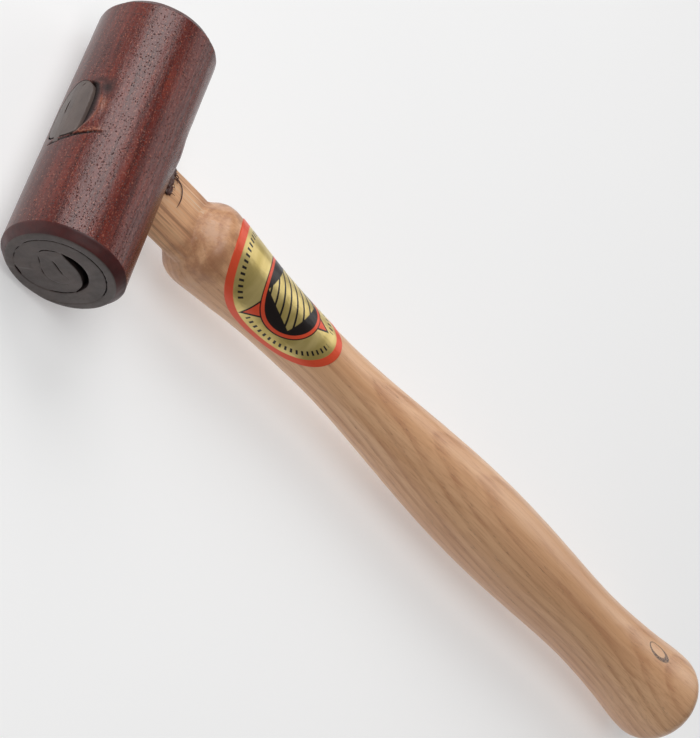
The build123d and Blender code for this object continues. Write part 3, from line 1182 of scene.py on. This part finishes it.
def ash_grain(n, place, x, y, z):
    """The colour of plain-sawn ash, and its grain as a height."""
    light, mid, dark = tone(240, 194, 152), tone(220, 168, 125), tone(180, 120, 86)
    # The growth rings are wide arcs around a pith that lies well below the handle, and that
    # runs slightly away from it towards the butt.
    from_pith = n.length(y + pith_offset, z + pith_depth + x * pith_slope)
    drift = n.noise(place, (14, 60, 60)).fade(0.2, 0.8, -0.0009, 0.0009)
    ring = n.math("FRACT", (from_pith + drift) * (1 / ring_spacing))
    early = ring.fade(0.0, 0.12) * ring.fade(0.12, 0.60, 1.0, 0.0)
    fibres = n.noise(place, (45, 2300, 2300), 3, 0.55)
    strands = n.noise(place, (16, 620, 620), 4, 0.6)
    bands = n.noise(place, (7, 210, 210), 3, 0.55)
    clouds = n.noise(place, (9, 70, 70))
    vessels = n.noise(place, (330, 4200, 4200), 2).fade(0.60, 0.72)
    pores = vessels * early.fade(0.0, 1.0, 0.25, 1.0)
    colour = n.layers(
        light,
        (clouds.fade(0.3, 0.7), mid),
        (bands.fade(0.42, 0.68, 0.0, 0.7), mid),
        (early * strands.fade(0.3, 0.65, 0.15, 0.42), dark),
        (strands.fade(0.45, 0.75, 0.0, 0.26), dark),
        (fibres.fade(0.45, 0.8, 0.0, 0.45), dark),
        (pores * 0.5, tone(132, 88, 60)))
    return colour, fibres * 0.5 - pores


def ash_wood():
    """Lacquered ash, rough from the rasp on the neck, with an inspector's ink ring at the butt."""
    n = Nodes("ash_wood")
    place = n.place()
    x, y, z = n.split(n.stretch(place, (1, 1, 1), tuple(-c for c in head_centre)))
    grain, height = ash_grain(n, place, x, y, z)
    # The neck and the shoulder were rasped by hand, and hands have since darkened the shoulder.
    neck = x.fade(0.026, 0.033, 1.0, 0.0)
    shoulder = x.fade(0.024, 0.030) * x.fade(0.036, 0.048, 1.0, 0.0)
    blotch = n.noise(place, (150, 130, 130), 5, 0.65)
    rasped = n.noise(place, (30, 1050, 1050), 4, 0.6)
    colour = n.layers(
        grain,
        (shoulder * blotch.fade(0.38, 0.62, 0.15, 0.8), tone(166, 115, 84)),
        (shoulder * blotch.fade(0.32, 0.46, 0.5, 0.0), tone(206, 166, 140)),
        (neck * rasped.fade(0.50, 0.68, 0.0, 0.72), tone(158, 117, 90)),
        (neck * rasped.fade(0.32, 0.46, 0.80, 0.0), tone(214, 190, 162)),
        (ink_ring(n), tone(58, 46, 44)))
    return n.surface(Base_Color=colour, Roughness=neck.fade(0.0, 1.0, 0.30, 0.60), IOR=1.45,
                     Normal=n.bump(height, 0.00008, 0.6))


def ink_ring(n):
    """A plain oval stamped in ink near the butt, heavier at its lower end. 1 is full ink."""
    turned = n.stored("turned")
    along, around, _ = n.split(turned)
    across = (along - ink_centre[0]) / ink_half_sizes[0]
    upward = (around - ink_centre[1]) / ink_half_sizes[1]
    off_line = abs(n.length(across, upward) - 1.0)
    width = (across - upward).fade(-1.6, 1.8, 0.05, 0.30)
    line = (off_line / width).fade(0.7, 1.2, 1.0, 0.0)
    return line * n.noise(turned, 2.2, 4, 0.7).fade(0.32, 0.6, 0.35, 0.95)


def stained_ash(name):
    """End grain of ash under the dark finish that was wiped over the finished head."""
    n = Nodes(name)
    place = n.place()
    cloud = n.noise(place, (120, 120, 260), 4, 0.6)
    grain = n.noise(place, (500, 500, 1800), 3, 0.6)
    colour = n.layers(tone(84, 72, 68), (cloud.fade(0.3, 0.7), tone(98, 84, 78)),
                      (grain.fade(0.55, 0.8, 0.0, 0.5), tone(62, 48, 44)))
    return n.surface(Base_Color=colour, Roughness=0.36,
                     Normal=n.bump(grain + cloud * 0.6, 0.00008, 0.6))


def below(value, limit, blur=0.08):
    """1 where a value is below a limit, with a slightly soft edge, and 0 above it."""
    return value.fade(limit - blur, limit + blur, 1.0, 0.0)


def along_and_across(a, b, angle):
    """A place (a, b) as it is measured along and across a direction."""
    c, s = math.cos(angle), math.sin(angle)
    return a * c + b * s, b * c - a * s


def printed_foil():
    """Gold foil with a plain printed pattern: a border, a disc, two pointers and a lozenge."""
    n = Nodes("printed_foil")
    spot = n.stored("print")
    along, around, _ = n.split(spot)
    red, black = tone(236, 88, 56), tone(34, 27, 26)
    shade = n.noise(spot, (0.16, 0.05, 1)).fade(0.3, 0.7)
    gold = n.layers(tone(242, 218, 146), (shade, tone(206, 182, 106)))
    colour, ink = gold, 0.0

    for tip in pointer_tips:
        angle = math.atan2(disc_centre[1] - tip[1], disc_centre[0] - tip[0])
        forward, sideways = along_and_across(along - tip[0], around - tip[1], angle)
        spread = abs(sideways) - forward * 0.47
        before_disc = below(forward, 6.0)
        outline = below(spread, 0.0) * before_disc
        colour = n.layers(colour, (outline, black), (below(spread, -0.55) * before_disc, red))
        ink = n.math("MAXIMUM", ink, outline)

    right, up = along - disc_centre[0], around - disc_centre[1]
    from_centre = n.length(right, up)
    disc = below(from_centre, disc_radius + 0.25)
    colour = n.layers(colour, (disc, black), (below(from_centre, disc_radius - 0.1), red),
                      (below(from_centre, disc_radius - 1.15), black))
    forward, sideways = along_and_across(right, up, math.radians(26))
    lozenge = below(abs(forward) / 10.4 + abs(sideways) / 9.6, 1.0, 0.02)
    from_stripe = abs(n.math("FRACT", forward / 2.7 + 0.5) - 0.5)
    motif = lozenge * from_stripe.fade(0.36, 0.39, 1.0, 0.0)
    ink = n.math("MAXIMUM", ink, disc) * (1.0 - motif)

    # Small dashes follow the border, where a label would carry its lettering.
    forward, sideways = along_and_across(along, around, label_turn)
    forward, sideways = forward / label_half_length, sideways / label_half_height
    oval = n.length(forward, sideways)
    bearing = n.math("ARCTAN2", sideways, forward)
    beat = n.math("FRACT", bearing * (dash_count / (2 * math.pi)))
    dash = beat.fade(0.10, 0.18) * beat.fade(0.50, 0.58, 1.0, 0.0)
    row = oval.fade(0.755, 0.765) * oval.fade(0.825, 0.835, 1.0, 0.0)
    clear_of_pointers = abs(abs(bearing + 0.94) - 1.02).fade(0.15, 0.17)
    dashes = dash * row * clear_of_pointers
    border = oval.fade(0.885, 0.895)
    colour = n.layers(colour, (motif, gold), (dashes, black), (border, red))
    ink = n.math("MAXIMUM", n.math("MAXIMUM", ink, dashes), border)
    return n.surface(Base_Color=colour, Metallic=ink.fade(0.0, 1.0, 0.55, 0.15),
                     Roughness=ink.fade(0.0, 1.0, 0.32, 0.36),
                     Normal=n.bump(n.noise(spot, (0.35, 0.9, 1)), 0.00016, 0.5))


def pale_floor():
    n = Nodes("pale_floor")
    mottle = n.noise(n.place(), 3.0)
    colour = n.layers((0.62, 0.62, 0.62, 1), (mottle.fade(0.3, 0.7), (0.64, 0.64, 0.64, 1)))
    return n.surface(Base_Color=colour, Roughness=0.9, Specular_IOR_Level=0.1,
                     Emission_Color=(1.0, 1.0, 1.0, 1.0), Emission_Strength=0.36)


# ==== the set ====

def make_camera():
    camera = bpy.data.objects.new("camera", bpy.data.cameras.new("camera"))
    bpy.context.scene.collection.objects.link(camera)
    backward = camera_right.cross(camera_up).normalized()
    axes = Matrix((camera_right, camera_up, backward)).transposed()
    camera.matrix_world = Matrix.Translation(head_centre + camera_from_head) @ axes.to_4x4()
    camera.data.lens = camera_lens
    camera.data.sensor_width = 36.0
    camera.data.clip_start = 0.01
    camera.data.clip_end = 20.0
    bpy.context.scene.camera = camera


def soft_box(name, direction, distance, size, power):
    """A square light that faces the mallet from a direction."""
    light = bpy.data.lights.new(name, "AREA")
    light.shape = "RECTANGLE"
    light.size, light.size_y = size
    light.energy = power
    lamp = bpy.data.objects.new(name, light)
    bpy.context.scene.collection.objects.link(lamp)
    out = Vector(direction).normalized()
    lamp.location = head_centre + Vector((0.08, 0, 0)) + out * distance
    lamp.rotation_mode = "QUATERNION"
    lamp.rotation_quaternion = out.to_track_quat("Z", "Y")


def make_lights():
    soft_box("back_left", (-0.58, 0.58, 0.57), 0.95, (0.62, 0.62), 4.9)
    soft_box("back_right", (0.56, 0.62, 0.50), 1.05, (0.75, 0.60), 1.95)
    soft_box("overhead", (-0.38, -0.14, 0.91), 1.20, (0.85, 0.85), 7.1)
    world = bpy.data.worlds.new("studio")
    world.use_nodes = True
    background = world.node_tree.nodes["Background"]
    background.inputs["Color"].default_value = (1.0, 1.0, 1.0, 1.0)
    background.inputs["Strength"].default_value = 0.05
    bpy.context.scene.world = world
    bpy.context.scene.view_settings.view_transform = "Standard"
    bpy.context.scene.view_settings.exposure = 0.0


def make_floor():
    """A wide, very slightly rounded sheet of pale card under the mallet."""
    shape_size, cells = 3.0, 48
    steps = np.linspace(-shape_size, shape_size, cells + 1)
    points = [(x, y, -0.02 * ((x * x + y * y) / shape_size ** 2) ** 2) for y in steps for x in steps]
    faces = []
    for j in range(cells):
        for i in range(cells):
            a = j * (cells + 1) + i
            faces.append((a, a + 1, a + cells + 2, a + cells + 1))
    mesh = bpy.data.meshes.new("floor")
    mesh.from_pydata(points, [], faces)
    mesh.materials.append(pale_floor())
    mesh.shade_smooth()
    floor = bpy.data.objects.new("floor", mesh)
    floor.location = (0, 0, cad_box[0][2] - 0.0003)
    bpy.context.scene.collection.objects.link(floor)


def dress_nodes(seam, wedge):
    """Gives the CAD nodes that stay in view their materials."""
    for name, material in (("outer_seam_glue", seam), ("inner_seam_glue", seam), ("eye_wedge", wedge)):
        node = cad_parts[name]
        if not node.material_slots:
            node.data.materials.append(material)
        for held in node.material_slots:
            held.material = material


make_camera()
make_lights()
make_floor()
skin = hide_skin()
face_cut = hide_cut("hide_face", tone(84, 71, 67), tone(67, 56, 53), 0.36)
bevel_cut = hide_cut("hide_bevel", tone(86, 38, 36), tone(58, 27, 27), 0.42)
rolled_head([skin, face_cut, bevel_cut, dark_seam()])
ash_handle([ash_wood(), stained_ash("tenon_end")])
foil_label([printed_foil()])
burr_hide = hide_cut("burr_hide", tone(104, 58, 46), tone(58, 32, 27), 0.28)
hide_burr([burr_hide])
loose_fibre([burr_hide])
dress_nodes(seam_glue(), stained_ash("wedge_end"))
